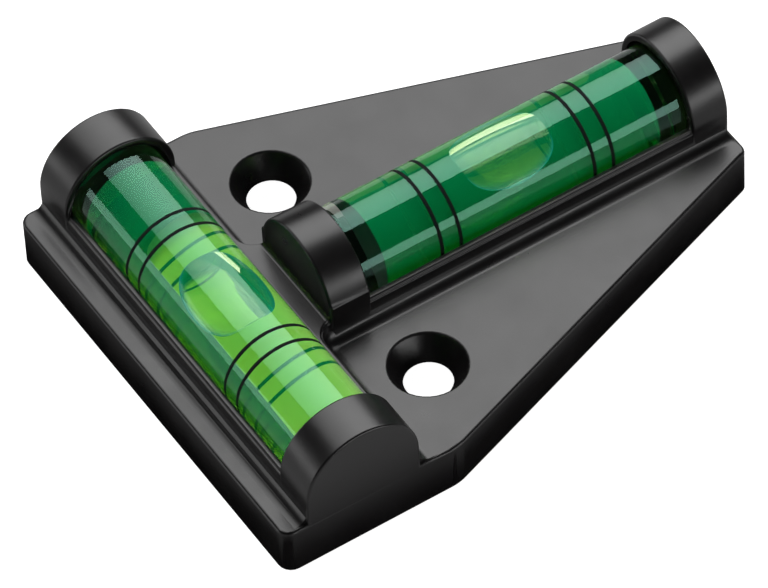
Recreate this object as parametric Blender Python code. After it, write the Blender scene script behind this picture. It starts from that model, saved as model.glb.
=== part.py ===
# Magnetic cross level: a flat moulded housing with two tubular spirit vials set at right angles.
# Metres, +Z up. The resting face is z = 0, the cross vial runs along X and the stem vial along Y.
from math import asin, atan2, cos, pi, radians, sin, sqrt, tan

import bmesh
import bpy
from mathutils import Matrix, Vector

# Housing plate
PLATE_HEIGHT = 0.00605
STRAIGHT_SIDE = 0.0217
FRONT_MARGIN = 0.00305
TIP_MARGIN = 0.0031
FRONT_CORNER_RADIUS = 0.0016
SHOULDER_RADIUS = 0.0060
TIP_CORNER_RADIUS = 0.0012
TOP_EDGE_RADIUS = 0.0004

# Vials
VIAL_LENGTH = 0.0420
VIAL_RADIUS = 0.00565
VIAL_EDGE_RADIUS = 0.0006
AXIS_RISE = 0.00315
TUBE_WALL = 0.00115
BARREL_DROP = 0.0004
END_WALL = 0.0035
PLUG_SEAT_STEP = 0.0005
PLUG_EDGE_RADIUS = 0.0002
RING_MARGIN = 0.0032
RING_SPACING = 0.0024
RING_WIDTH = 0.00045
RING_DEPTH = 0.00015

# Bubbles
BUBBLE_LENGTH = 0.0108
BUBBLE_DEPTH = 0.0010
BUBBLE_HEADROOM = 0.0004
BUBBLE_END_DROP = 0.0003
BUBBLE_OFFSET = 0.0003
BUBBLE_WIDTH_SHARE = 0.88

# Hoods over the vial ends, and the raised trough between them
HOOD_GAP = 0.0005
HOOD_WALL = 0.00085
HOOD_EDGE_RADIUS = 0.0003
HOOD_END_WALL = 0.0020
HOOD_SETBACK = 0.00005
CROSS_HOOD_DEPTH = 0.0054
CROSS_POCKET_ROOM = 0.00375
NEAR_HOOD_STANDOFF = 0.0018
NEAR_HOOD_DEPTH = 0.0049
NEAR_POCKET_ROOM = 0.00285
FAR_HOOD_SETBACK = 0.0003
FAR_HOOD_DEPTH = 0.0046
FAR_POCKET_ROOM = 0.0020
SKIRT_RISE = 0.0016
SKIRT_STEP = 0.00005
TROUGH_DROP = 0.0006
TROUGH_INSET = 0.0002
TROUGH_END_STEP = 0.0004
TROUGH_EDGE_RADIUS = 0.00015
TROUGH_CORNER_RADIUS = 0.0021
LEDGE_SLOPE = 0.00003
LIP_SETBACK = 0.0003
LIP_RISE = 0.00035
LIP_EDGE_RADIUS = 0.00012
FOOT_RADIUS = 0.0018
FOOT_SINK = 0.00002

# Windows under the vials
CRADLE_LEDGE = 0.00135
WINDOW_END_MARGIN = 0.0030
WINDOW_CORNER_RADIUS = 0.0012

# Countersunk screw holes
HOLE_SPACING = 0.0311
HOLE_STANDOFF = 0.01515
HOLE_DIAMETER = 0.00546
HOLE_LAND = 0.0003
SINK_DIAMETER = 0.0088
HOLE_LIP_RADIUS = 0.0005

# Underside
TOP_WALL = 0.0030
OUTER_WALL = 0.0020
SLOT_WALL = 0.0015
POCKET_FLOOR = 0.0015
RIB_THICKNESS = 0.0012
RIB_SETBACK = 0.0005
RIB_SHARES = (0.12, 0.45, 0.95)

# Magnets
MAGNET_DIAMETER = 0.0060
MAGNET_THICKNESS = 0.0024
MAGNET_CHAMFER = 0.0002
MAGNET_RECESS = 0.0002
MAGNET_WALL = 0.0013
TIP_MAGNET_MARGIN = 0.0160

# Fits
CLEARANCE = 0.0003
OVERRUN = 0.0010

# Facets
VIAL_STEPS = 32
BARREL_STEPS = 24
HOOD_STEPS = 28
BORE_STEPS = 48
HOLE_STEPS = 36
MAGNET_STEPS = 24
CORNER_STEPS = 5
EDGE_STEPS = 3
FOOT_STEPS = 6
BOW_STEPS = 8
BUBBLE_STEPS = 20
BUBBLE_STATIONS = 12
SHARP_ANGLE = radians(40)

# Derived sizes
HOOD_BORE_RADIUS = VIAL_RADIUS + HOOD_GAP
HOOD_RADIUS = HOOD_BORE_RADIUS + HOOD_WALL
CRADLE_RADIUS = VIAL_RADIUS + CLEARANCE
AXIS_HEIGHT = PLATE_HEIGHT + AXIS_RISE
TROUGH_HEIGHT = AXIS_HEIGHT - TROUGH_DROP
CEILING = PLATE_HEIGHT - TOP_WALL
HOOD_BASE = PLATE_HEIGHT - TOP_WALL / 2
WINDOW_WIDTH = 2 * (CRADLE_RADIUS - CRADLE_LEDGE)
WINDOW_LENGTH = VIAL_LENGTH - 2 * WINDOW_END_MARGIN

# Lengths counted from the front edge to the tip
CROSS_SETBACK = FRONT_MARGIN + HOOD_RADIUS
NEAR_HOOD_SETBACK = CROSS_SETBACK + HOOD_RADIUS + NEAR_HOOD_STANDOFF
STEM_START = NEAR_HOOD_SETBACK + HOOD_END_WALL + NEAR_POCKET_ROOM
FAR_HOOD_FACE = STEM_START + VIAL_LENGTH + FAR_POCKET_ROOM + HOOD_END_WALL
HOUSING_LENGTH = FAR_HOOD_FACE + FAR_HOOD_SETBACK

# Places with the origin in the middle of the resting face
FRONT_Y = -HOUSING_LENGTH / 2
TIP_Y = HOUSING_LENGTH / 2
CROSS_Y = FRONT_Y + CROSS_SETBACK
NEAR_HOOD_Y = FRONT_Y + NEAR_HOOD_SETBACK
STEM_Y = FRONT_Y + STEM_START + VIAL_LENGTH / 2
FAR_HOOD_Y = FRONT_Y + FAR_HOOD_FACE
CROSS_HOOD_X = VIAL_LENGTH / 2 + CROSS_POCKET_ROOM + HOOD_END_WALL
FRONT_WIDTH = 2 * (CROSS_HOOD_X + HOOD_SETBACK)
TIP_WIDTH = 2 * (HOOD_RADIUS + TIP_MARGIN)

# Vial bore, rings and bubble
BARREL_RADIUS = VIAL_RADIUS - TUBE_WALL
BARREL_HALF = VIAL_LENGTH / 2 - END_WALL
PLUG_SEAT_RADIUS = BARREL_RADIUS - BARREL_DROP + PLUG_SEAT_STEP
BUBBLE_WIDTH = 2 * (BARREL_RADIUS - BUBBLE_HEADROOM) * BUBBLE_WIDTH_SHARE
INNER_RING_OFFSET = BUBBLE_LENGTH / 2 + RING_MARGIN
OUTER_RING_OFFSET = INNER_RING_OFFSET + RING_SPACING

# Magnets stand against the outer wall and the slot walls
MAGNET_POCKET_RADIUS = MAGNET_DIAMETER / 2 + CLEARANCE
FRONT_MAGNET_X = FRONT_WIDTH / 2 - OUTER_WALL - MAGNET_POCKET_RADIUS
FRONT_MAGNET_Y = CROSS_Y + WINDOW_WIDTH / 2 + SLOT_WALL + MAGNET_POCKET_RADIUS
TIP_MAGNET_X = WINDOW_WIDTH / 2 + SLOT_WALL + MAGNET_POCKET_RADIUS
TIP_MAGNET_Y = TIP_Y - TIP_MAGNET_MARGIN


def clear_objects():
    for item in list(bpy.data.objects):
        bpy.data.objects.remove(item, do_unlink=True)


def make_material(name, colour, roughness, metallic=0.0, alpha=1.0):
    material = bpy.data.materials.new(name)
    material.use_nodes = True
    shader = material.node_tree.nodes["Principled BSDF"]
    shader.inputs["Base Color"].default_value = (*colour, 1.0)
    shader.inputs["Roughness"].default_value = roughness
    shader.inputs["Metallic"].default_value = metallic
    shader.inputs["Alpha"].default_value = alpha
    return material


def corner_frame(corners, index):
    """Gives a corner's place, its two side directions and the counter-clockwise turn between them."""
    here = Vector(corners[index][:2])
    into = (here - Vector(corners[index - 1][:2])).normalized()
    onward = (Vector(corners[(index + 1) % len(corners)][:2]) - here).normalized()
    turn = atan2(into.x * onward.y - into.y * onward.x, into.dot(onward))
    return here, into, onward, turn


def inset_corners(corners, inset):
    """Moves every side of a counter-clockwise outline inwards and keeps its arcs concentric."""
    moved = []
    for index, (_, _, radius) in enumerate(corners):
        here, into, onward, turn = corner_frame(corners, index)
        inward = Vector((-into.y - onward.y, into.x + onward.x))
        here += inward * inset / (1 + into.dot(onward))
        inner_radius = radius - inset if turn > 0 else radius + inset
        moved.append((here.x, here.y, max(inner_radius, 0)))
    return moved


def round_corners(corners):
    """Turns corners of (x, y, radius) into points, with an arc where the radius isn't zero."""
    points = []
    for index, (_, _, radius) in enumerate(corners):
        here, into, onward, turn = corner_frame(corners, index)
        if radius == 0:
            points.append(here)
            continue
        start = here - into * radius * tan(abs(turn) / 2)
        arm = Vector((into.y, -into.x)) * radius * (1 if turn > 0 else -1)
        for step in range(CORNER_STEPS + 1):
            spoke = Matrix.Rotation(turn * step / CORNER_STEPS, 2) @ arm
            points.append(start - arm + spoke)
    return points


def quarter_edge(radius):
    """Gives (along, inset) pairs of a rounded edge, from the straight side to the end face."""
    angles = [pi / 2 * step / EDGE_STEPS for step in range(EDGE_STEPS + 1)]
    return [(radius * sin(angle), radius * (1 - cos(angle))) for angle in angles]


def skin(name, rings):
    """Joins rings of points with faces and closes both ends; a ring of one point is a pole."""
    shape = bmesh.new()
    loops = [[shape.verts.new(point) for point in ring] for ring in rings]
    for lower, upper in zip(loops, loops[1:]):
        count = max(len(lower), len(upper))
        for index in range(count):
            after = (index + 1) % count
            corners = [lower[index % len(lower)], lower[after % len(lower)]]
            corners += [upper[after % len(upper)], upper[index % len(upper)]]
            shape.faces.new(list(dict.fromkeys(corners)))
    for loop in (loops[0], loops[-1]):
        if len(loop) > 1:
            shape.faces.new(loop)
    bmesh.ops.recalc_face_normals(shape, faces=shape.faces)
    mesh = bpy.data.meshes.new(name)
    shape.to_mesh(mesh)
    shape.free()
    mesh.shade_smooth()
    mesh.set_sharp_from_angle(angle=SHARP_ANGLE)
    return mesh


def turned_along_x(name, profile, steps):
    """Revolves (station, radius) pairs about the X axis."""
    rings = []
    for station, radius in profile:
        count = steps if radius > 0 else 1
        angles = [2 * pi * step / steps for step in range(count)]
        rings.append([(station, radius * cos(angle), radius * sin(angle)) for angle in angles])
    return skin(name, rings)


def turned_along_z(name, profile, steps):
    """Revolves (radius, height) pairs about the Z axis."""
    rings = []
    for radius, height in profile:
        count = steps if radius > 0 else 1
        angles = [2 * pi * step / steps for step in range(count)]
        rings.append([(radius * cos(angle), radius * sin(angle), height) for angle in angles])
    return skin(name, rings)


def prism(name, corners, bottom, top):
    points = round_corners(corners)
    return skin(name, [[(*point, height) for point in points] for height in (bottom, top)])


def rectangle(centre, half_x, half_y, radius=0):
    x, y = centre
    sides = [(-half_x, -half_y), (half_x, -half_y), (half_x, half_y), (-half_x, half_y)]
    return [(x + side_x, y + side_y, radius) for side_x, side_y in sides]


def add_piece(name, mesh, material, location=(0, 0, 0), parent=None):
    piece = bpy.data.objects.new(name, mesh)
    piece.location = location
    piece.parent = parent
    bpy.context.collection.objects.link(piece)
    if material.name not in mesh.materials:
        mesh.materials.append(material)
    return piece


def add_tool(name, mesh, location=(0, 0, 0), parent=None):
    """Adds a shape that only cuts or thickens another piece."""
    tool = bpy.data.objects.new(name, mesh)
    tool.location = location
    tool.parent = parent
    tool.hide_render = True
    tool.display_type = "WIRE"
    bpy.context.collection.objects.link(tool)
    return tool


def combine(target, tool, operation):
    step = target.modifiers.new(tool.name, "BOOLEAN")
    step.operation = operation
    step.object = tool


def plate_corners():
    half_front = FRONT_WIDTH / 2
    half_tip = TIP_WIDTH / 2
    shoulder_y = FRONT_Y + STRAIGHT_SIDE
    return [
        (-half_front, FRONT_Y, FRONT_CORNER_RADIUS),
        (half_front, FRONT_Y, FRONT_CORNER_RADIUS),
        (half_front, shoulder_y, SHOULDER_RADIUS),
        (half_tip, TIP_Y, TIP_CORNER_RADIUS),
        (-half_tip, TIP_Y, TIP_CORNER_RADIUS),
        (-half_front, shoulder_y, SHOULDER_RADIUS),
    ]


def plate_mesh():
    levels = [(0, 0)]
    for rise, inset in quarter_edge(TOP_EDGE_RADIUS):
        levels.append((PLATE_HEIGHT - TOP_EDGE_RADIUS + rise, inset))
    rings = []
    for height, inset in levels:
        points = round_corners(inset_corners(plate_corners(), inset))
        rings.append([(*point, height) for point in points])
    return skin("plate", rings)


def trough_corners(inset):
    """The T-shaped trough: its long sides move with the inset, and its three ends stay."""
    half = HOOD_RADIUS - TROUGH_INSET - inset
    end_x = CROSS_HOOD_X - TROUGH_END_STEP
    tip_y = FAR_HOOD_Y - TROUGH_END_STEP
    back_y = CROSS_Y + half
    inner_radius = TROUGH_CORNER_RADIUS + inset
    return [
        (-end_x, CROSS_Y - half, 0),
        (end_x, CROSS_Y - half, 0),
        (end_x, back_y, 0),
        (half, back_y, inner_radius),
        (half, tip_y, 0),
        (-half, tip_y, 0),
        (-half, back_y, inner_radius),
        (-end_x, back_y, 0),
    ]


def trough_mesh():
    """The trough's wall on a hollow foot, with a narrow ledge outside a slightly higher lip."""
    foot_z = PLATE_HEIGHT - FOOT_SINK
    levels = [(HOOD_BASE, -FOOT_RADIUS)]
    for step in range(FOOT_STEPS + 1):
        angle = pi / 2 * step / FOOT_STEPS
        levels.append((foot_z + FOOT_RADIUS * (1 - cos(angle)), FOOT_RADIUS * (sin(angle) - 1)))
    for rise, inset in quarter_edge(TROUGH_EDGE_RADIUS):
        levels.append((TROUGH_HEIGHT - TROUGH_EDGE_RADIUS + rise, inset))
    ledge_z = TROUGH_HEIGHT + LEDGE_SLOPE
    levels.append((ledge_z, LIP_SETBACK))
    for rise, inset in quarter_edge(LIP_EDGE_RADIUS):
        levels.append((ledge_z + LIP_RISE - LIP_EDGE_RADIUS + rise, LIP_SETBACK + inset))
    rings = []
    for height, inset in levels:
        rings.append([(*point, height) for point in round_corners(trough_corners(inset))])
    return skin("trough", rings)


def hood_arch(radius, skirt_rise):
    """The outline of a hood: an arc on straight sides, or on a slightly wider skirt of a given height."""
    side = radius + SKIRT_STEP if skirt_rise > 0 else radius
    start = asin(skirt_rise / radius)
    arch = [(side, HOOD_BASE)]
    if skirt_rise > 0:
        arch.append((side, AXIS_HEIGHT + skirt_rise))
    for step in range(HOOD_STEPS + 1):
        angle = start + (pi - 2 * start) * step / HOOD_STEPS
        arch.append((radius * cos(angle), AXIS_HEIGHT + radius * sin(angle)))
    if skirt_rise > 0:
        arch.append((-side, AXIS_HEIGHT + skirt_rise))
    arch.append((-side, HOOD_BASE))
    return arch


def hood_mesh(name, mouth, face, along_x, skirt_rise):
    """An arched hood from its mouth to its outer face, with both edges rounded."""
    way = 1 if face > mouth else -1
    edge = quarter_edge(HOOD_EDGE_RADIUS)
    ends = [(mouth + way * (HOOD_EDGE_RADIUS - rise), inset) for rise, inset in reversed(edge)]
    ends += [(face - way * (HOOD_EDGE_RADIUS - rise), inset) for rise, inset in edge]
    rings = []
    for station, inset in ends:
        arch = hood_arch(HOOD_RADIUS - inset, skirt_rise)
        if along_x:
            rings.append([(station, CROSS_Y + across, height) for across, height in arch])
        else:
            rings.append([(across, station, height) for across, height in arch])
    return skin(name, rings)


def hood_places():
    """Each hood's name, mouth, outer face, whether it lies on the cross vial, and its skirt's rise."""
    cross_mouth = CROSS_HOOD_X - CROSS_HOOD_DEPTH
    near_mouth = NEAR_HOOD_Y + NEAR_HOOD_DEPTH
    far_mouth = FAR_HOOD_Y - FAR_HOOD_DEPTH
    return [
        ("hood_left", -cross_mouth, -CROSS_HOOD_X, True, 0),
        ("hood_right", cross_mouth, CROSS_HOOD_X, True, 0),
        ("hood_near", near_mouth, NEAR_HOOD_Y, False, SKIRT_RISE),
        ("hood_far", far_mouth, FAR_HOOD_Y, False, 0),
    ]


def vial_space_mesh(name, start_face, start_depth, end_face, end_depth):
    """The room for a vial: a cradle between two wider blind pockets in the hoods."""
    start_mouth = start_face + start_depth
    end_mouth = end_face - end_depth
    profile = [
        (start_face + HOOD_END_WALL, 0),
        (start_face + HOOD_END_WALL, HOOD_BORE_RADIUS),
        (start_mouth, HOOD_BORE_RADIUS),
        (start_mouth, CRADLE_RADIUS),
        (end_mouth, CRADLE_RADIUS),
        (end_mouth, HOOD_BORE_RADIUS),
        (end_face - HOOD_END_WALL, HOOD_BORE_RADIUS),
        (end_face - HOOD_END_WALL, 0),
    ]
    return turned_along_x(name, profile, BORE_STEPS)


def hole_mesh():
    """A screw hole: a steep countersink down to a short land, with a rounded lip."""
    hole_radius = HOLE_DIAMETER / 2
    sink_radius = SINK_DIAMETER / 2
    sink_z = CEILING + HOLE_LAND
    slope = atan2(PLATE_HEIGHT - sink_z, sink_radius - hole_radius)
    reach = HOLE_LIP_RADIUS * tan(slope / 2)
    profile = [(0, -OVERRUN), (hole_radius, -OVERRUN), (hole_radius, sink_z)]
    lip_centre_z = PLATE_HEIGHT - HOLE_LIP_RADIUS
    for step in range(EDGE_STEPS + 1):
        angle = slope * (1 - step / EDGE_STEPS)
        radius = sink_radius + reach - HOLE_LIP_RADIUS * sin(angle)
        profile.append((radius, lip_centre_z + HOLE_LIP_RADIUS * cos(angle)))
    profile[-1] = (sink_radius + reach, PLATE_HEIGHT + FOOT_SINK)
    profile += [(sink_radius + reach, PLATE_HEIGHT + OVERRUN), (0, PLATE_HEIGHT + OVERRUN)]
    return turned_along_z("screw_hole", profile, HOLE_STEPS)


def magnet_places():
    return {
        "magnet_front_left": (-FRONT_MAGNET_X, FRONT_MAGNET_Y),
        "magnet_front_right": (FRONT_MAGNET_X, FRONT_MAGNET_Y),
        "magnet_tip_left": (-TIP_MAGNET_X, TIP_MAGNET_Y),
        "magnet_tip_right": (TIP_MAGNET_X, TIP_MAGNET_Y),
    }


def window_corners(margin):
    """Outlines of the two windows, each widened by a margin on every side."""
    half_length = WINDOW_LENGTH / 2 + margin
    half_width = WINDOW_WIDTH / 2 + margin
    radius = WINDOW_CORNER_RADIUS + margin
    return {
        "cross": rectangle((0, CROSS_Y), half_length, half_width, radius),
        "stem": rectangle((0, STEM_Y), half_width, half_length, radius),
    }


def underside_tool():
    """The shallow hollow under the plate, less the walls, ribs and bosses that stay."""
    hollow = add_tool("hollow", prism("hollow", inset_corners(plate_corners(), OUTER_WALL), -OVERRUN, CEILING))
    low = -OVERRUN * 2
    high = CEILING + OVERRUN
    for name, corners in window_corners(SLOT_WALL).items():
        combine(hollow, add_tool(f"slot_wall_{name}", prism(name, corners, low, high)), "DIFFERENCE")
    floor_z = AXIS_HEIGHT - HOOD_BORE_RADIUS - POCKET_FLOOR
    half_window = WINDOW_LENGTH / 2
    half_front = FRONT_WIDTH / 2
    long_half = (half_front - half_window) / 2
    for side in (-1, 1):
        middle = (side * (half_front + half_window) / 2, CROSS_Y)
        corners = rectangle(middle, long_half, HOOD_RADIUS)
        combine(hollow, add_tool(f"pocket_floor_{side}", prism("floor", corners, floor_z, high)), "DIFFERENCE")
    stem_ends = {
        "near": (NEAR_HOOD_Y, STEM_Y - half_window),
        "far": (STEM_Y + half_window, TIP_Y),
    }
    for name, (start, end) in stem_ends.items():
        corners = rectangle((0, (start + end) / 2), HOOD_RADIUS, (end - start) / 2)
        combine(hollow, add_tool(f"pocket_floor_{name}", prism("floor", corners, floor_z, high)), "DIFFERENCE")
    boss_radius = MAGNET_POCKET_RADIUS + MAGNET_WALL
    boss = turned_along_z("boss", [(0, low), (boss_radius, low), (boss_radius, high), (0, high)], MAGNET_STEPS)
    for name, (x, y) in magnet_places().items():
        combine(hollow, add_tool(f"boss_{name}", boss, (x, y, 0)), "DIFFERENCE")
    for index, share in enumerate(RIB_SHARES):
        rib_y = STEM_Y + WINDOW_LENGTH * (share - 1 / 2)
        corners = rectangle((0, rib_y), FRONT_WIDTH, RIB_THICKNESS / 2)
        combine(hollow, add_tool(f"rib_{index}", prism("rib", corners, RIB_SETBACK, high)), "DIFFERENCE")
    return hollow


def make_housing(material):
    housing = add_piece("housing", plate_mesh(), material)
    combine(housing, add_tool("trough", trough_mesh()), "UNION")
    for name, mouth, face, along_x, skirt_rise in hood_places():
        combine(housing, add_tool(name, hood_mesh(name, mouth, face, along_x, skirt_rise)), "UNION")
    combine(housing, underside_tool(), "DIFFERENCE")
    cross_space = vial_space_mesh(
        "cross_space", -CROSS_HOOD_X, CROSS_HOOD_DEPTH, CROSS_HOOD_X, CROSS_HOOD_DEPTH
    )
    combine(housing, add_tool("cross_space", cross_space, (0, CROSS_Y, AXIS_HEIGHT)), "DIFFERENCE")
    stem_space = vial_space_mesh(
        "stem_space", NEAR_HOOD_Y - STEM_Y, NEAR_HOOD_DEPTH, FAR_HOOD_Y - STEM_Y, FAR_HOOD_DEPTH
    )
    stem_tool = add_tool("stem_space", stem_space, (0, STEM_Y, AXIS_HEIGHT))
    stem_tool.rotation_euler.z = pi / 2
    combine(housing, stem_tool, "DIFFERENCE")
    for name, corners in window_corners(0).items():
        window = prism(f"window_{name}", corners, -OVERRUN, AXIS_HEIGHT)
        combine(housing, add_tool(f"window_{name}", window), "DIFFERENCE")
    hole = hole_mesh()
    for side in (-1, 1):
        place = (side * HOLE_SPACING / 2, CROSS_Y + HOLE_STANDOFF, 0)
        combine(housing, add_tool(f"screw_hole_{side}", hole, place), "DIFFERENCE")
    pocket_z = MAGNET_RECESS + MAGNET_THICKNESS + CLEARANCE
    wall = MAGNET_POCKET_RADIUS
    profile = [(0, -OVERRUN), (wall, -OVERRUN), (wall, pocket_z), (0, pocket_z)]
    pocket = turned_along_z("magnet_pocket", profile, MAGNET_STEPS)
    for name, (x, y) in magnet_places().items():
        combine(housing, add_tool(f"pocket_{name}", pocket, (x, y, 0)), "DIFFERENCE")
    return housing


def barrel_radius(station):
    """The bore is widest in the middle and falls off with the square of the station."""
    return BARREL_RADIUS - BARREL_DROP * (station / BARREL_HALF) ** 2


def barrel_stations(half):
    return [half * (2 * step / BOW_STEPS - 1) for step in range(BOW_STEPS + 1)]


def tube_mesh():
    """A clear tube, blind at one end, with a barrel bore and four shallow marking grooves."""
    half = VIAL_LENGTH / 2
    profile = [(-BARREL_HALF, 0)]
    profile += [(station, barrel_radius(station)) for station in barrel_stations(BARREL_HALF)]
    profile += [(BARREL_HALF, PLUG_SEAT_RADIUS), (half, PLUG_SEAT_RADIUS)]
    edge = quarter_edge(VIAL_EDGE_RADIUS)
    profile += [(half - VIAL_EDGE_RADIUS + rise, VIAL_RADIUS - inset) for rise, inset in reversed(edge)]
    for offset in (OUTER_RING_OFFSET, INNER_RING_OFFSET, -INNER_RING_OFFSET, -OUTER_RING_OFFSET):
        near = offset + RING_WIDTH / 2
        far = offset - RING_WIDTH / 2
        groove = VIAL_RADIUS - RING_DEPTH
        profile += [(near, VIAL_RADIUS), (near, groove), (far, groove), (far, VIAL_RADIUS)]
    profile += [(VIAL_EDGE_RADIUS - half - rise, VIAL_RADIUS - inset) for rise, inset in edge]
    profile.append((-half, 0))
    return turned_along_x("vial_tube", profile, VIAL_STEPS)


def plug_mesh():
    half = VIAL_LENGTH / 2
    radius = PLUG_SEAT_RADIUS - CLEARANCE
    start = BARREL_HALF + CLEARANCE
    edge = quarter_edge(PLUG_EDGE_RADIUS)
    profile = [(start, 0), (start, radius)]
    profile += [(half - PLUG_EDGE_RADIUS + rise, radius - inset) for rise, inset in edge]
    profile.append((half, 0))
    return turned_along_x("vial_plug", profile, BARREL_STEPS)


def liquid_mesh():
    half = BARREL_HALF - CLEARANCE
    profile = [(-half, 0)]
    profile += [(station, barrel_radius(station) - CLEARANCE) for station in barrel_stations(half)]
    profile.append((half, 0))
    return turned_along_x("vial_liquid", profile, BARREL_STEPS)


def bubble_mesh(name, margin):
    """A long drop pressed against the roof of the bore, grown on every side by a margin."""
    half = BUBBLE_LENGTH / 2 + margin
    rings = []
    for station_step in range(BUBBLE_STATIONS + 1):
        angle = pi * station_step / BUBBLE_STATIONS
        station = -half * cos(angle)
        width = (BUBBLE_WIDTH / 2 + margin) * sqrt(sin(angle)) if 0 < station_step < BUBBLE_STATIONS else 0
        depth = (BUBBLE_DEPTH + margin) * sin(angle)
        roof = barrel_radius(station) - BUBBLE_HEADROOM - BUBBLE_END_DROP * cos(angle) ** 2 + margin
        if width == 0:
            rings.append([(station, 0, roof)])
            continue
        edge_z = sqrt(roof ** 2 - width ** 2)
        ring = []
        for step in range(BUBBLE_STEPS):
            turn = 2 * pi * step / BUBBLE_STEPS
            across = width * cos(turn)
            height = sqrt(roof ** 2 - across ** 2) if sin(turn) > 0 else edge_z + depth * sin(turn)
            ring.append((station, across, height))
        rings.append(ring)
    return skin(name, rings)


def make_vials(clear, green, air):
    tube = tube_mesh()
    plug = plug_mesh()
    bubble = bubble_mesh("vial_bubble", 0)
    recess = bubble_mesh("bubble_recess", CLEARANCE)
    places = {"cross_vial": (CROSS_Y, 0), "stem_vial": (STEM_Y, pi / 2)}
    for name, (middle_y, heading) in places.items():
        centre = bpy.data.objects.new(f"{name}_centre", None)
        centre.location = (0, middle_y, AXIS_HEIGHT)
        centre.rotation_euler.z = heading
        bpy.context.collection.objects.link(centre)
        add_piece(f"{name}_tube", tube, clear, parent=centre)
        add_piece(f"{name}_plug", plug, clear, parent=centre)
        liquid = add_piece(f"{name}_liquid", liquid_mesh(), green, parent=centre)
        offset = (BUBBLE_OFFSET, 0, 0)
        combine(liquid, add_tool(f"{name}_recess", recess, offset, centre), "DIFFERENCE")
        add_piece(f"{name}_bubble", bubble, air, offset, centre)


def make_magnets(material):
    radius = MAGNET_DIAMETER / 2
    small = radius - MAGNET_CHAMFER
    top = MAGNET_THICKNESS
    profile = [(0, 0), (small, 0), (radius, MAGNET_CHAMFER), (radius, top - MAGNET_CHAMFER), (small, top), (0, top)]
    mesh = turned_along_z("magnet", profile, MAGNET_STEPS)
    for name, (x, y) in magnet_places().items():
        add_piece(name, mesh, material, (x, y, MAGNET_RECESS))


clear_objects()
make_housing(make_material("black_plastic", (0.045, 0.043, 0.046), 0.42))
make_vials(
    make_material("clear_acrylic", (0.80, 0.88, 0.78), 0.05, alpha=0.35),
    make_material("green_liquid", (0.10, 0.62, 0.22), 0.05, alpha=0.6),
    make_material("air", (0.92, 1.0, 0.90), 0.02, alpha=0.35),
)
make_magnets(make_material("nickel_plate", (0.62, 0.61, 0.58), 0.25, metallic=1.0))
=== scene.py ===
from math import pi, radians

import bmesh
import bpy
import numpy as np
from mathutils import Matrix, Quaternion, Vector


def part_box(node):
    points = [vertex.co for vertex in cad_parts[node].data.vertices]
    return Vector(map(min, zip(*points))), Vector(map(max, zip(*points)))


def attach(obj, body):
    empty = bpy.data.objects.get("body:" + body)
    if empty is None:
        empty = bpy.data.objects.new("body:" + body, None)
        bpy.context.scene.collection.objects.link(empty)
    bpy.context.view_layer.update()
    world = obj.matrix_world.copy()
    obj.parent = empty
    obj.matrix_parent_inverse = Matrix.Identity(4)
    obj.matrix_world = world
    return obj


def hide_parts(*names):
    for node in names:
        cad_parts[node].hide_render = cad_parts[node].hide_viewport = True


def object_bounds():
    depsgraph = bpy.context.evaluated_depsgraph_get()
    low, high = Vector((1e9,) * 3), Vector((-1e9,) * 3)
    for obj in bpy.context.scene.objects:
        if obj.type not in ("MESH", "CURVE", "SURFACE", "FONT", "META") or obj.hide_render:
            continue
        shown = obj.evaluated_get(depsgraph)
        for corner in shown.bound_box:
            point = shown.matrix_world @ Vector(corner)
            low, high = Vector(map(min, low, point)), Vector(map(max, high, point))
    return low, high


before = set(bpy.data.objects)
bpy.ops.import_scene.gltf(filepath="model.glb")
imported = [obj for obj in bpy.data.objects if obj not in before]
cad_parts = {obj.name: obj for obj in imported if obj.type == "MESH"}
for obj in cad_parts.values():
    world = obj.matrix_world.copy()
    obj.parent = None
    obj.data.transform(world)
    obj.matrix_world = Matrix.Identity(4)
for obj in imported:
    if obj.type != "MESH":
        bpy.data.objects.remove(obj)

mm = 0.001
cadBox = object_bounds()
print("frame loaded:", len(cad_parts), "solids")


# Meshes

def meshPiece(name, points, faces, material):
    mesh = bpy.data.meshes.new(name)
    mesh.from_pydata(points.reshape(-1, 3).tolist(), [], faces)
    work = bmesh.new()
    work.from_mesh(mesh)
    bmesh.ops.recalc_face_normals(work, faces=work.faces)
    work.to_mesh(mesh)
    work.free()
    mesh.polygons.foreach_set("use_smooth", np.ones(len(mesh.polygons), bool))
    mesh.materials.append(material)
    mesh.update()
    piece = bpy.data.objects.new(name, mesh)
    bpy.context.scene.collection.objects.link(piece)
    return piece


def gridFaces(rows, columns, closeRows=False):
    # quads between neighbouring rows and columns; the columns close round, the rows only when asked
    i, j = np.meshgrid(np.arange(rows if closeRows else rows - 1), np.arange(columns), indexing="ij")
    nextRow, nextColumn = (i + 1) % rows, (j + 1) % columns
    corners = [i * columns + j, i * columns + nextColumn, nextRow * columns + nextColumn, nextRow * columns + j]
    quads = np.stack(corners, -1)
    return quads.reshape(-1, 4).tolist()


def turnedGrid(stations, radii, turns):
    # the profile point (s, r) is carried round the axis to (s, r cos t, r sin t)
    t = np.linspace(0, 2 * pi, turns, endpoint=False)
    s, r = np.asarray(stations)[:, None], np.asarray(radii)[:, None]
    return np.stack([s + 0 * t, r * np.cos(t), r * np.sin(t)], -1)


def turnedSolid(stations, radii, turns):
    # the turned grid with one pole point at each end, where the profile meets the axis
    rings = turnedGrid(stations[1:-1], radii[1:-1], turns)
    rows = len(rings)
    first, last = rows * turns, rows * turns + 1
    points = np.concatenate([rings.reshape(-1, 3), [(stations[0], 0, 0)], [(stations[-1], 0, 0)]])
    j = np.arange(turns)
    nextJ = (j + 1) % turns
    base = (rows - 1) * turns
    fans = np.stack([nextJ, j, np.full(turns, first)], -1).tolist()
    fans += np.stack([base + j, base + nextJ, np.full(turns, last)], -1).tolist()
    return points, gridFaces(rows, turns) + fans


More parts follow.
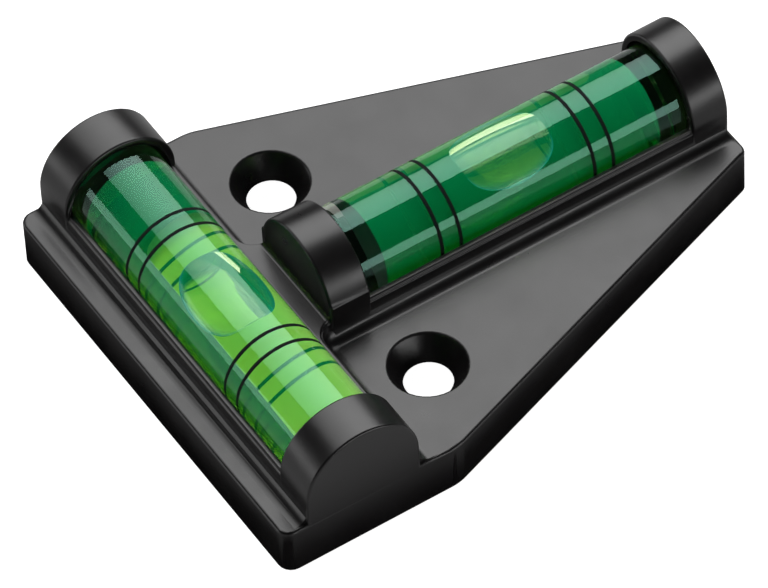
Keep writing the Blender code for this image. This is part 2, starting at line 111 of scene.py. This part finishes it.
def roundedCorner(station, radius, size, turnFrom, turnTo, steps):
    # a quarter circle round the point (station, radius)
    turn = np.linspace(turnFrom, turnTo, steps)
    return station + size * np.cos(turn), radius + size * np.sin(turn)


# Places of the two vials, read from the frame

vialFit = {
    # how far each tube reaches past its solid at both ends, and where its liquid starts and ends;
    # the cross vial's values are set so that its colour meets the hoods
    "cross_vial": {"alongX": True, "reach": 1.6 * mm, "boreStart": -20.0 * mm, "boreEnd": 21.0 * mm},
    "stem_vial": {"alongX": False, "reach": 0.1 * mm, "boreStart": -17.5 * mm, "boreEnd": 17.5 * mm},
}


def vialPlace(name):
    low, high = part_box(name + "_tube")
    place = {"name": name, "centre": (low + high) / 2, "length": max(high - low), "radius": (high.z - low.z) / 2}
    return place | vialFit[name]


def alongVial(points, vial):
    # vial coordinates (along, left, up) to the frame: the stem vial is turned a quarter to the left
    a, b, c = np.moveaxis(points, -1, 0)
    centre = vial["centre"]
    flat = (a, b) if vial["alongX"] else (-b, a)
    return np.stack([centre.x + flat[0], centre.y + flat[1], centre.z + c], -1)


crossVial = vialPlace("cross_vial")
stemVial = vialPlace("stem_vial")


# Materials

def newMaterial(name):
    material = bpy.data.materials.new(name)
    material.use_nodes = True
    nodes, links = material.node_tree.nodes, material.node_tree.links
    nodes.clear()
    return material, nodes, links


def noise(nodes, links, coords, scale, detail=4.0, roughness=0.55, stretch=(1, 1, 1)):
    mapping = nodes.new("ShaderNodeMapping")
    mapping.inputs["Scale"].default_value = stretch
    links.new(coords.outputs["Object"], mapping.inputs["Vector"])
    texture = nodes.new("ShaderNodeTexNoise")
    texture.inputs["Scale"].default_value = scale
    texture.inputs["Detail"].default_value = detail
    texture.inputs["Roughness"].default_value = roughness
    links.new(mapping.outputs["Vector"], texture.inputs["Vector"])
    return texture.outputs["Fac"]


def spread(nodes, links, source, low, high, fromLow=0.3, fromHigh=0.7):
    span = nodes.new("ShaderNodeMapRange")
    span.inputs["From Min"].default_value = fromLow
    span.inputs["From Max"].default_value = fromHigh
    span.inputs["To Min"].default_value = low
    span.inputs["To Max"].default_value = high
    links.new(source, span.inputs["Value"])
    return span.outputs["Result"]


def blendColour(nodes, links, factor, first, second):
    mix = nodes.new("ShaderNodeMix")
    mix.data_type = "RGBA"
    mix.inputs["A"].default_value = (*first, 1)
    mix.inputs["B"].default_value = (*second, 1)
    links.new(factor, mix.inputs["Factor"])
    return mix.outputs["Result"]


def calculate(nodes, links, operation, first, second=None):
    # one Math node; each value is a number or another node's output
    step = nodes.new("ShaderNodeMath")
    step.operation = operation
    for socket, value in zip(step.inputs, (first, second)):
        if value is None:
            continue
        if isinstance(value, float):
            socket.default_value = value
        else:
            links.new(value, socket)
    return step.outputs["Value"]


def bumpFrom(nodes, links, height, strength, distance, below=None):
    bump = nodes.new("ShaderNodeBump")
    bump.inputs["Strength"].default_value = strength
    bump.inputs["Distance"].default_value = distance
    links.new(height, bump.inputs["Height"])
    if below is not None:
        links.new(below, bump.inputs["Normal"])
    return bump.outputs["Normal"]


plastic = {
    "dark": (0.0022, 0.0019, 0.0021),
    "pale": (0.0048, 0.0043, 0.0045),
    "roughLow": 0.27,
    "roughHigh": 0.36,
    "specular": 0.42,
    "grainScale": 5200,       # grains a metre, about 0.2 mm each
    "grainDepth": 0.000012,
    "flowScale": 160,
    "flowDepth": 0.00003,
    "grainStrength": 0.5,
    "flowStrength": 0.35,
}


def mouldedPlastic():
    material, nodes, links = newMaterial("moulded_black_plastic")
    coords = nodes.new("ShaderNodeTexCoord")
    shader = nodes.new("ShaderNodeBsdfPrincipled")
    output = nodes.new("ShaderNodeOutputMaterial")
    grain = noise(nodes, links, coords, plastic["grainScale"], 3.0)
    flow = noise(nodes, links, coords, plastic["flowScale"], 5.0, 0.6)
    links.new(blendColour(nodes, links, flow, plastic["dark"], plastic["pale"]), shader.inputs["Base Color"])
    links.new(spread(nodes, links, flow, plastic["roughLow"], plastic["roughHigh"]), shader.inputs["Roughness"])
    shader.inputs["Specular IOR Level"].default_value = plastic["specular"]
    soft = bumpFrom(nodes, links, flow, plastic["flowStrength"], plastic["flowDepth"])
    rough = bumpFrom(nodes, links, grain, plastic["grainStrength"], plastic["grainDepth"], soft)
    links.new(rough, shader.inputs["Normal"])
    links.new(shader.outputs["BSDF"], output.inputs["Surface"])
    return material


acrylic = {
    "tint": (0.93, 0.97, 0.90),
    "ior": 1.49,
    "rough": 0.015,
    "specular": 0.45,
    "specularTint": (0.48, 1.0, 0.82),
    "seamIor": 1.02,                   # of the plug against the tube that it is glued into
    "plugThrough": (0.45, 0.80, 0.12),
    "plugDensity": 150.0,
    "hazeScale": 900,
    "plugHazeScale": 500,
    "plugPale": (0.97, 1.0, 0.96),
    "plugDull": (0.88, 0.95, 0.86),
}


def clearAcrylic():
    material, nodes, links = newMaterial("clear_acrylic")
    coords = nodes.new("ShaderNodeTexCoord")
    shader = nodes.new("ShaderNodeBsdfPrincipled")
    output = nodes.new("ShaderNodeOutputMaterial")
    haze = noise(nodes, links, coords, acrylic["hazeScale"], 3.0)
    shader.inputs["Base Color"].default_value = (*acrylic["tint"], 1)
    shader.inputs["Transmission Weight"].default_value = 1.0
    shader.inputs["IOR"].default_value = acrylic["ior"]
    shader.inputs["Specular IOR Level"].default_value = acrylic["specular"]
    shader.inputs["Specular Tint"].default_value = (*acrylic["specularTint"], 1)
    links.new(spread(nodes, links, haze, 0.0, acrylic["rough"]), shader.inputs["Roughness"])
    links.new(shader.outputs["BSDF"], output.inputs["Surface"])
    return material


def plugAcrylic():
    material, nodes, links = newMaterial("plug_acrylic")
    coords = nodes.new("ShaderNodeTexCoord")
    clear = nodes.new("ShaderNodeBsdfGlass")
    clear.inputs["Roughness"].default_value = 0.0
    clear.inputs["IOR"].default_value = acrylic["seamIor"]
    haze = noise(nodes, links, coords, acrylic["plugHazeScale"], 3.0)
    links.new(blendColour(nodes, links, haze, acrylic["plugPale"], acrylic["plugDull"]), clear.inputs["Color"])
    soak = nodes.new("ShaderNodeVolumeAbsorption")
    soak.inputs["Color"].default_value = (*acrylic["plugThrough"], 1)
    soak.inputs["Density"].default_value = acrylic["plugDensity"]
    output = nodes.new("ShaderNodeOutputMaterial")
    links.new(clear.outputs["BSDF"], output.inputs["Surface"])
    links.new(soak.outputs["Volume"], output.inputs["Volume"])
    return material


liquid = {
    "ior": 0.94,                       # of the liquid against the acrylic round it
    "glow": (0.0, 0.68, 0.22),         # the dye's own green where light falls on it
    "glowShare": 0.16,
    "through": (0.54, 0.77, 0.02),     # light let through, and the rest is absorbed
    "density": 420.0,
    "wispScale": 220,
    "wispPaler": 1.15,
}


def greenLiquid():
    material, nodes, links = newMaterial("green_liquid")
    coords = nodes.new("ShaderNodeTexCoord")
    clear = nodes.new("ShaderNodeBsdfGlass")
    clear.inputs["Roughness"].default_value = 0.0
    clear.inputs["IOR"].default_value = liquid["ior"]
    glow = nodes.new("ShaderNodeBsdfDiffuse")
    wisps = noise(nodes, links, coords, liquid["wispScale"], 2.0)
    pale = tuple(liquid["wispPaler"] * value for value in liquid["glow"])
    links.new(blendColour(nodes, links, wisps, liquid["glow"], pale), glow.inputs["Color"])
    mix = nodes.new("ShaderNodeMixShader")
    mix.inputs["Fac"].default_value = liquid["glowShare"]
    links.new(clear.outputs["BSDF"], mix.inputs[1])
    links.new(glow.outputs["BSDF"], mix.inputs[2])
    soak = nodes.new("ShaderNodeVolumeAbsorption")
    soak.inputs["Color"].default_value = (*liquid["through"], 1)
    soak.inputs["Density"].default_value = liquid["density"]
    output = nodes.new("ShaderNodeOutputMaterial")
    links.new(mix.outputs["Shader"], output.inputs["Surface"])
    links.new(soak.outputs["Volume"], output.inputs["Volume"])
    return material


air = {
    "ior": 1 / 1.40,                   # of the air against the liquid round it
    # colour and share of the bubble's painted rim, a cyan diffuse standing in for the light bent at the bubble's
    # edge
    "paintedRimColour": (0.01, 0.24, 0.33),
    "paintedRimShare": 0.75,
}


def bubbleAir():
    material, nodes, links = newMaterial("bubble_air")
    clear = nodes.new("ShaderNodeBsdfGlass")
    clear.inputs["Roughness"].default_value = 0.0
    clear.inputs["IOR"].default_value = air["ior"]
    # painted rim: near the waterline a lit cyan diffuse takes over from the clear glass, in place of the light bent
    # at the bubble's edge
    paintedRim = nodes.new("ShaderNodeAttribute")
    paintedRim.attribute_name = "paintedRim"
    edge = nodes.new("ShaderNodeBsdfDiffuse")
    edge.inputs["Color"].default_value = (*air["paintedRimColour"], 1)
    mix = nodes.new("ShaderNodeMixShader")
    links.new(spread(nodes, links, paintedRim.outputs["Fac"], 0, air["paintedRimShare"], 0, 1), mix.inputs["Fac"])
    links.new(clear.outputs["BSDF"], mix.inputs[1])
    links.new(edge.outputs["BSDF"], mix.inputs[2])
    output = nodes.new("ShaderNodeOutputMaterial")
    links.new(mix.outputs["Shader"], output.inputs["Surface"])
    return material


ink = {
    "dark": (0.002, 0.003, 0.003),
    "pale": (0.006, 0.008, 0.008),
    "roughLow": 0.6,
    "roughHigh": 0.8,
    "specular": 0.08,
    "speckScale": 7000,
}


def ringInk():
    material, nodes, links = newMaterial("ring_ink")
    coords = nodes.new("ShaderNodeTexCoord")
    shader = nodes.new("ShaderNodeBsdfPrincipled")
    output = nodes.new("ShaderNodeOutputMaterial")
    speck = noise(nodes, links, coords, ink["speckScale"], 3.0)
    links.new(blendColour(nodes, links, speck, ink["dark"], ink["pale"]), shader.inputs["Base Color"])
    links.new(spread(nodes, links, speck, ink["roughLow"], ink["roughHigh"]), shader.inputs["Roughness"])
    shader.inputs["Specular IOR Level"].default_value = ink["specular"]
    links.new(shader.outputs["BSDF"], output.inputs["Surface"])
    return material


plating = {
    "dark": (0.54, 0.52, 0.48),
    "pale": (0.68, 0.66, 0.62),
    "roughLow": 0.16,
    "roughHigh": 0.34,
    "scratchScale": 2600,
    "scratchStretch": (1, 0.08, 1),
    "scratchStrength": 0.2,
    "scratchDepth": 0.000005,
    "cloudScale": 500,
}


def nickelPlate():
    material, nodes, links = newMaterial("nickel_plate")
    coords = nodes.new("ShaderNodeTexCoord")
    shader = nodes.new("ShaderNodeBsdfPrincipled")
    output = nodes.new("ShaderNodeOutputMaterial")
    scratch = noise(nodes, links, coords, plating["scratchScale"], 6.0, 0.7, plating["scratchStretch"])
    cloud = noise(nodes, links, coords, plating["cloudScale"], 4.0)
    shader.inputs["Metallic"].default_value = 1.0
    links.new(blendColour(nodes, links, cloud, plating["dark"], plating["pale"]), shader.inputs["Base Color"])
    links.new(spread(nodes, links, scratch, plating["roughLow"], plating["roughHigh"]), shader.inputs["Roughness"])
    lines = bumpFrom(nodes, links, scratch, plating["scratchStrength"], plating["scratchDepth"])
    links.new(lines, shader.inputs["Normal"])
    links.new(shader.outputs["BSDF"], output.inputs["Surface"])
    return material


blackPlastic = mouldedPlastic()
acrylicClear = clearAcrylic()
acrylicPlug = plugAcrylic()
liquidGreen = greenLiquid()
airClear = bubbleAir()
inkBlack = ringInk()
nickel = nickelPlate()
print("materials made")


# Housing: the moulded body, as one smooth skin

housing = {
    "mergeDistance": 0.001 * mm,
    "sharpAngle": 38,
}


def smoothHousing():
    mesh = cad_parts["housing"].data.copy()
    mesh.name = "housing_skin"
    work = bmesh.new()
    work.from_mesh(mesh)
    bmesh.ops.remove_doubles(work, verts=work.verts, dist=housing["mergeDistance"])
    work.to_mesh(mesh)
    work.free()
    mesh.polygons.foreach_set("use_smooth", np.ones(len(mesh.polygons), bool))
    mesh.set_sharp_from_angle(angle=radians(housing["sharpAngle"]))
    mesh.materials.clear()
    mesh.materials.append(blackPlastic)
    piece = bpy.data.objects.new("housing_skin", mesh)
    bpy.context.scene.collection.objects.link(piece)
    even = piece.modifiers.new("even_normals", "WEIGHTED_NORMAL")
    even.keep_sharp = True
    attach(piece, "level_body")
    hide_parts("housing")
    return piece


smoothHousing()
print("housing made")


# Vials

tube = {
    "edge": 0.6 * mm,
    "plugRadius": 4.7 * mm,
    "plugGap": 0.04 * mm,
    "plugSink": 0.05 * mm,       # of the plug's outer face below the tube's
    "plugEdge": 0.2 * mm,
    "turns": 160,
    "cornerSteps": 9,
    "plugCornerSteps": 6,
    "alongSteps": 40,
    "sharpAngle": 50,
}

bore = {
    "length": 35.0 * mm,
    "middle": 4.5 * mm,
    "drop": 0.4 * mm,
    "sections": 49,
}

rings = {
    "offsets": (-11.0 * mm, -8.6 * mm, 8.6 * mm, 11.0 * mm),
    "width": 0.45 * mm,
    "proud": 0.012 * mm,
    "depth": 0.10 * mm,
    "profileSteps": 24,
    "squareness": 0.35,                # of the band's profile: one is round, nought is square
}

bubble = {
    "length": 10.8 * mm,
    "width": 7.2 * mm,
    "depth": 1.0 * mm,
    "headroom": 0.4 * mm,
    "endDrop": 0.3 * mm,
    "offset": 0.3 * mm,
    "turns": 96,
    "sections": 64,
    # how tightly the painted rim keeps to the waterline
    "paintedRimPower": 12,
}


def boreRadius(station):
    # a barrel: the radius falls off with the square of the station
    return bore["middle"] - bore["drop"] * (2 * station / bore["length"]) ** 2


def makeTube(vial):
    half, radius, edge = vial["length"] / 2 + vial["reach"], vial["radius"], tube["edge"]
    startS, startR = roundedCorner(-half + edge, radius - edge, edge, pi, pi / 2, tube["cornerSteps"])
    endS, endR = roundedCorner(half - edge, radius - edge, edge, pi / 2, 0, tube["cornerSteps"])
    middleS = np.linspace(-half + 1.5 * edge, half - 1.5 * edge, tube["alongSteps"])
    stations = np.concatenate([[-half, -half], startS, middleS, endS, [half, half]])
    radii = np.concatenate([[0, 0.5 * radius], startR, np.full(tube["alongSteps"], radius), endR, [0.5 * radius, 0]])
    points, faces = turnedSolid(stations, radii, tube["turns"])
    piece = meshPiece(vial["name"] + "_glass", alongVial(points, vial), faces, acrylicClear)
    piece.data.set_sharp_from_angle(angle=radians(tube["sharpAngle"]))
    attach(piece, "level_body")
    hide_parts(vial["name"] + "_tube")
    return piece


def makePlug(vial):
    half = vial["length"] / 2 + vial["reach"] - tube["plugSink"]
    radius, edge = tube["plugRadius"], tube["plugEdge"]
    start = vial["boreEnd"] + tube["plugGap"]
    endS, endR = roundedCorner(half - edge, radius - edge, edge, pi / 2, 0, tube["plugCornerSteps"])
    stations = np.concatenate([[start, start, start], endS, [half, half]])
    radii = np.concatenate([[0, 0.5 * radius, radius], endR, [0.5 * radius, 0]])
    points, faces = turnedSolid(stations, radii, tube["turns"])
    piece = meshPiece(vial["name"] + "_end_plug", alongVial(points, vial), faces, acrylicPlug)
    piece.data.set_sharp_from_angle(angle=radians(tube["sharpAngle"]))
    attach(piece, "level_body")
    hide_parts(vial["name"] + "_plug")
    return piece


def makeLiquid(vial):
    start, end = vial["boreStart"], vial["boreEnd"]
    s = np.linspace(start, end, bore["sections"])
    stations = np.concatenate([[start, start], s, [end, end]])
    radii = np.concatenate([[0, 0.5 * bore["middle"]], boreRadius(s), [0.5 * bore["middle"], 0]])
    points, faces = turnedSolid(stations, radii, tube["turns"])
    piece = meshPiece(vial["name"] + "_spirit", alongVial(points, vial), faces, liquidGreen)
    piece.data.set_sharp_from_angle(angle=radians(tube["sharpAngle"]))
    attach(piece, "level_body")
    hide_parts(vial["name"] + "_liquid")
    return piece


def makeBubble(vial, body):
    # each cross-section keeps to the roof of the bore above and sags by a half ellipse below;
    # the sections swell along the bubble with the root of the sine
    turns, sections = bubble["turns"], bubble["sections"]
    angle = np.linspace(0, pi, sections + 1)[1:-1, None]
    turn = np.linspace(0, 2 * pi, turns, endpoint=False)
    station = -bubble["length"] / 2 * np.cos(angle)
    width = bubble["width"] / 2 * np.sqrt(np.sin(angle))
    roof = boreRadius(station) - bubble["headroom"] - bubble["endDrop"] * np.cos(angle) ** 2
    across = width * np.cos(turn)
    above = np.sqrt(roof ** 2 - across ** 2)
    below = np.sqrt(roof ** 2 - width ** 2) + bubble["depth"] * np.sin(angle) * np.sin(turn)
    up = np.where(np.sin(turn) > 0, above, below)
    rows = len(station)
    grid = np.stack([station + bubble["offset"] + 0 * across, across, up], -1)
    tipRoof = boreRadius(bubble["length"] / 2) - bubble["headroom"] - bubble["endDrop"]
    half = bubble["length"] / 2
    tips = [(bubble["offset"] - half, 0, tipRoof), (bubble["offset"] + half, 0, tipRoof)]
    points = np.concatenate([grid.reshape(-1, 3), tips])
    j = np.arange(turns)
    nextJ = (j + 1) % turns
    base = (rows - 1) * turns
    faces = gridFaces(rows, turns)
    faces += np.stack([nextJ, j, np.full(turns, rows * turns)], -1).tolist()
    faces += np.stack([base + j, base + nextJ, np.full(turns, rows * turns + 1)], -1).tolist()
    piece = meshPiece(vial["name"] + "_air", alongVial(points, vial), faces, airClear)
    # painted rim: how near each point lies to the waterline, a high power of the cosine of the turn
    # round the bubble, and one at the tips; a cyan diffuse is painted there in place of the light bent at the
    # bubble's edge
    paintedRimMask = np.concatenate([(np.abs(np.cos(turn)) ** bubble["paintedRimPower"] + 0 * angle).ravel(), [1, 1]])
    paintedRim = piece.data.attributes.new("paintedRim", "FLOAT", "POINT")
    paintedRim.data.foreach_set("value", paintedRimMask.astype(np.float32))
    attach(piece, body)
    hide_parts(vial["name"] + "_bubble")
    return piece


def makeRings(vial):
    # a thin closed band with rounded shoulders, carried round the tube
    for count, offset in enumerate(rings["offsets"]):
        t = np.linspace(0, 2 * pi, rings["profileSteps"], endpoint=False)
        outer, inner = vial["radius"] + rings["proud"], vial["radius"] - rings["depth"]
        squareness = rings["squareness"]
        c, s = np.cos(t), np.sin(t)
        stations = offset + rings["width"] / 2 * np.sign(c) * np.abs(c) ** squareness
        radii = (outer + inner) / 2 + (outer - inner) / 2 * np.sign(s) * np.abs(s) ** squareness
        grid = turnedGrid(stations, radii, tube["turns"])
        faces = gridFaces(len(stations), tube["turns"], closeRows=True)
        piece = meshPiece(f"{vial['name']}_ring_{count + 1}", alongVial(grid, vial), faces, inkBlack)
        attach(piece, "level_body")


for vial, body in ((crossVial, "cross_bubble"), (stemVial, "stem_bubble")):
    glassy = [makeTube(vial), makePlug(vial), makeLiquid(vial), makeBubble(vial, body)]
    makeRings(vial)
    for piece in glassy:
        piece.visible_shadow = False
        piece.visible_diffuse = False
print("vials made")


# Magnets

magnet = {
    "edge": 0.25 * mm,
    "dimple": 0.02 * mm,
    "cornerSteps": 6,
    "turns": 96,
}


def makeMagnet(node):
    # a disc turned about its own upright axis, with rounded rims and a faintly dished face
    low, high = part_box(node)
    radius, height, edge = (high.x - low.x) / 2, high.z - low.z, magnet["edge"]
    lowS, lowR = roundedCorner(edge, radius - edge, edge, pi, pi / 2, magnet["cornerSteps"])
    topS, topR = roundedCorner(height - edge, radius - edge, edge, pi / 2, 0, magnet["cornerSteps"])
    faceR = np.linspace(0, radius - edge, magnet["cornerSteps"])[:-1]
    faceS = magnet["dimple"] * (1 - (faceR / radius) ** 2)
    stations = np.concatenate([faceS, lowS, topS, height - faceS[::-1]])
    radii = np.concatenate([faceR, lowR, topR, faceR[::-1]])
    points, faces = turnedSolid(stations, radii, magnet["turns"])
    up, b, c = np.moveaxis(points, -1, 0)
    middle = (low + high) / 2
    placed = np.stack([middle.x + b, middle.y + c, low.z + up], -1)
    piece = meshPiece(node + "_disc", placed, faces, nickel)
    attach(piece, "level_body")
    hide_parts(node)


for node in sorted(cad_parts):
    if "magnet" in node:
        makeMagnet(node)
print("magnets made")


# Floor, lights and camera

studio = {
    "floorColour": (0.35, 0.35, 0.35),
    "floorDarker": 0.985,
    "floorPaperScale": 40,
    "floorRoughness": 0.9,
    "floorGlow": 1.0,
    "floorHalf": 6.0,
    "shadeTone": 0.12,                 # of the floor's light left in the shaded patches under the level
    "shadeSoft": 0.0015,
    "skyBelow": (0.01, 0.01, 0.01),
    "skyAbove": (0.03, 0.03, 0.03),
    "skyBlend": 0.05,                  # half height of the change between the two at the horizon
}

# the floor seen only in reflections carries a painted shadow: it is dark near the level's outline, in place of the
# level's contact shadow
mirrorFloor = {
    "glow": 0.55,
    "near": 0.0005,                    # it is dark up to this far from the level, and full past the next
    "far": 0.010,
    "sink": 0.05 * mm,                 # below the floor that the camera sees
    "middleHalfWidth": 0.0222,         # of the level's tapered outline at its origin
    "taper": 0.346,                    # how much narrower each side gets a metre further on
}

softboxGrade = {
    # it shines with the first share at one edge, and fully past the second part of the way across
    "across": (0.5, 0.7),
    "along": (0.45, 0.42),
}

lamps = {
    # where each stands, what it faces, its width and height, and its power
    "topSoftbox": ((-0.4575, 0.287, 0.50), (-0.4575, 0.287, 0.0), (0.825, 1.135), 15.5),
    "leftCard": ((-0.42, -0.58, 0.0), (0.0, 0.0, 0.0), (0.80, 0.36), 2.4),
    "rightCard": ((0.72, 0.25, 0.0), (0.0, 0.0, 0.0), (0.80, 0.50), 5.0),
}

view = {
    "place": (0.47773, -0.28626, 0.65657),
    "aim": (0.00476, -0.00831, 0.0060),
    "roll": -3.305,
    "lens": 374.24,
    "sensor": 36.0,
    "clipStart": 0.05,
    "clipEnd": 20.0,
}

shades = {
    # middle and half size of each dimmed patch of floor, set in place of the level's own shadow
    "underStem": ((0.0, 0.0097), (0.0060, 0.0200)),
    "underCrossLeft": ((-0.0210, -0.02495), (0.0050, 0.0070)),
}


def shadePatch(nodes, links, parts, middle, half):
    # one inside the patch, falling to zero past its edges: the product of one clamped ramp along each axis
    ramps = []
    for axis, centre, reach in zip("XY", middle, half):
        away = calculate(nodes, links, "SUBTRACT", parts.outputs[axis], centre)
        size = calculate(nodes, links, "ABSOLUTE", away)
        soft = studio["shadeSoft"]
        ramps.append(spread(nodes, links, size, 1, 0, reach - soft / 2, reach + soft / 2))
    return calculate(nodes, links, "MULTIPLY", *ramps)


def makeFloor():
    half = studio["floorHalf"]
    corners = np.array([(-half, -half, 0), (half, -half, 0), (half, half, 0), (-half, half, 0)], float)
    material, nodes, links = newMaterial("pale_floor")
    coords = nodes.new("ShaderNodeTexCoord")
    shader = nodes.new("ShaderNodeBsdfPrincipled")
    output = nodes.new("ShaderNodeOutputMaterial")
    paper = noise(nodes, links, coords, studio["floorPaperScale"], 3.0)
    pale = studio["floorColour"]
    darker = tuple(studio["floorDarker"] * value for value in pale)
    links.new(blendColour(nodes, links, paper, pale, darker), shader.inputs["Base Color"])
    shader.inputs["Roughness"].default_value = studio["floorRoughness"]
    shader.inputs["Specular IOR Level"].default_value = 0.0
    shader.inputs["Emission Color"].default_value = (1, 1, 1, 1)
    parts = nodes.new("ShaderNodeSeparateXYZ")
    links.new(coords.outputs["Object"], parts.inputs["Vector"])
    shade = None
    for middle, patchHalf in shades.values():
        patch = shadePatch(nodes, links, parts, middle, patchHalf)
        shade = patch if shade is None else calculate(nodes, links, "MAXIMUM", shade, patch)
    glow = spread(nodes, links, shade, studio["floorGlow"], studio["floorGlow"] * studio["shadeTone"], 0, 1)
    links.new(glow, shader.inputs["Emission Strength"])
    links.new(shader.outputs["BSDF"], output.inputs["Surface"])
    mesh = bpy.data.meshes.new("floor")
    mesh.from_pydata(corners.tolist(), [], [(0, 1, 2, 3)])
    mesh.materials.append(material)
    floor = bpy.data.objects.new("floor", mesh)
    bpy.context.scene.collection.objects.link(floor)
    floor.visible_glossy = False


def makeFloorReflection():
    # the floor as the level mirrors it, with a painted shadow: its light grows with the distance past the level's
    # tapered outline, which is the larger of the distance past the two ends and past the two sides, so the dark near
    # the level stands in for its contact shadow
    half = studio["floorHalf"]
    low = -mirrorFloor["sink"]
    corners = [(-half, -half, low), (half, -half, low), (half, half, low), (-half, half, low)]
    material, nodes, links = newMaterial("floor_in_reflections")
    coords = nodes.new("ShaderNodeTexCoord")
    parts = nodes.new("ShaderNodeSeparateXYZ")
    links.new(coords.outputs["Object"], parts.inputs["Vector"])
    reach = cadBox[1]
    x, y = parts.outputs["X"], parts.outputs["Y"]
    pastEnds = calculate(nodes, links, "SUBTRACT", calculate(nodes, links, "ABSOLUTE", y), reach.y)
    narrower = calculate(nodes, links, "MULTIPLY", y, mirrorFloor["taper"])
    tapered = calculate(nodes, links, "SUBTRACT", mirrorFloor["middleHalfWidth"], narrower)
    width = calculate(nodes, links, "MINIMUM", tapered, reach.x)
    pastSides = calculate(nodes, links, "SUBTRACT", calculate(nodes, links, "ABSOLUTE", x), width)
    past = calculate(nodes, links, "MAXIMUM", pastEnds, pastSides)
    # painted shadow: no glow up to the near distance, full glow past the far one
    paintedShadowRamp = nodes.new("ShaderNodeMapRange")
    paintedShadowRamp.interpolation_type = "SMOOTHSTEP"
    paintedShadowRamp.inputs["From Min"].default_value = mirrorFloor["near"]
    paintedShadowRamp.inputs["From Max"].default_value = mirrorFloor["far"]
    paintedShadowRamp.inputs["To Min"].default_value = 0.0
    paintedShadowRamp.inputs["To Max"].default_value = mirrorFloor["glow"]
    links.new(past, paintedShadowRamp.inputs["Value"])
    glow = nodes.new("ShaderNodeEmission")
    links.new(paintedShadowRamp.outputs["Result"], glow.inputs["Strength"])
    output = nodes.new("ShaderNodeOutputMaterial")
    links.new(glow.outputs["Emission"], output.inputs["Surface"])
    mesh = bpy.data.meshes.new("floor_reflection")
    mesh.from_pydata(corners, [], [(0, 1, 2, 3)])
    mesh.materials.append(material)
    floor = bpy.data.objects.new("floor_reflection", mesh)
    bpy.context.scene.collection.objects.link(floor)
    floor.visible_camera = False
    floor.visible_diffuse = False
    floor.visible_transmission = False
    floor.visible_shadow = False


def gradeLamp(lamp):
    # the softbox dims towards two of its edges
    data = lamp.data
    data.use_nodes = True
    nodes, links = data.node_tree.nodes, data.node_tree.links
    nodes.clear()
    place = nodes.new("ShaderNodeNewGeometry")
    parts = nodes.new("ShaderNodeSeparateXYZ")
    links.new(place.outputs["Parametric"], parts.inputs["Vector"])
    edgeX, fullX = softboxGrade["across"]
    edgeY, fullY = softboxGrade["along"]
    across = spread(nodes, links, parts.outputs["X"], edgeX, 1.0, 0.0, fullX)
    along = spread(nodes, links, parts.outputs["Y"], edgeY, 1.0, 0.0, fullY)
    glow = nodes.new("ShaderNodeEmission")
    links.new(calculate(nodes, links, "MULTIPLY", across, along), glow.inputs["Strength"])
    output = nodes.new("ShaderNodeOutputLight")
    links.new(glow.outputs["Emission"], output.inputs["Surface"])


def makeLamp(name, place, aim, size, power):
    data = bpy.data.lights.new(name, "AREA")
    data.shape = "RECTANGLE"
    data.size, data.size_y = size
    data.energy = power
    lamp = bpy.data.objects.new(name, data)
    lamp.location = place
    look = Vector(aim) - Vector(place)
    lamp.rotation_euler = look.to_track_quat("-Z", "Y").to_euler()
    bpy.context.scene.collection.objects.link(lamp)
    return lamp


def makeSky():
    world = bpy.data.worlds.new("studio")
    bpy.context.scene.world = world
    world.use_nodes = True
    nodes, links = world.node_tree.nodes, world.node_tree.links
    nodes.clear()
    coords = nodes.new("ShaderNodeTexCoord")
    parts = nodes.new("ShaderNodeSeparateXYZ")
    links.new(coords.outputs["Generated"], parts.inputs["Vector"])
    height = spread(nodes, links, parts.outputs["Z"], 0, 1, -studio["skyBlend"], studio["skyBlend"])
    tone = blendColour(nodes, links, height, studio["skyBelow"], studio["skyAbove"])
    path = nodes.new("ShaderNodeLightPath")
    mix = nodes.new("ShaderNodeMix")
    mix.data_type = "RGBA"
    mix.inputs["B"].default_value = (1, 1, 1, 1)
    links.new(path.outputs["Is Camera Ray"], mix.inputs["Factor"])
    links.new(tone, mix.inputs["A"])
    background = nodes.new("ShaderNodeBackground")
    links.new(mix.outputs["Result"], background.inputs["Color"])
    output = nodes.new("ShaderNodeOutputWorld")
    links.new(background.outputs["Background"], output.inputs["Surface"])


def makeCamera():
    data = bpy.data.cameras.new("view")
    data.lens = view["lens"]
    data.sensor_width = view["sensor"]
    data.clip_start, data.clip_end = view["clipStart"], view["clipEnd"]
    camera = bpy.data.objects.new("view", data)
    place, aim = Vector(view["place"]), Vector(view["aim"])
    turn = (aim - place).to_track_quat("-Z", "Y") @ Quaternion((0, 0, 1), radians(view["roll"]))
    camera.location = place
    camera.rotation_euler = turn.to_euler()
    bpy.context.scene.collection.objects.link(camera)
    bpy.context.scene.camera = camera
    return turn


makeFloor()
makeFloorReflection()
for name, settings in lamps.items():
    lamp = makeLamp(name, *settings)
    if name == "topSoftbox":
        gradeLamp(lamp)
makeSky()
turn = makeCamera()
bpy.context.scene.view_settings.view_transform = "Standard"
print("camera right", [round(x, 4) for x in turn @ Vector((1, 0, 0))])
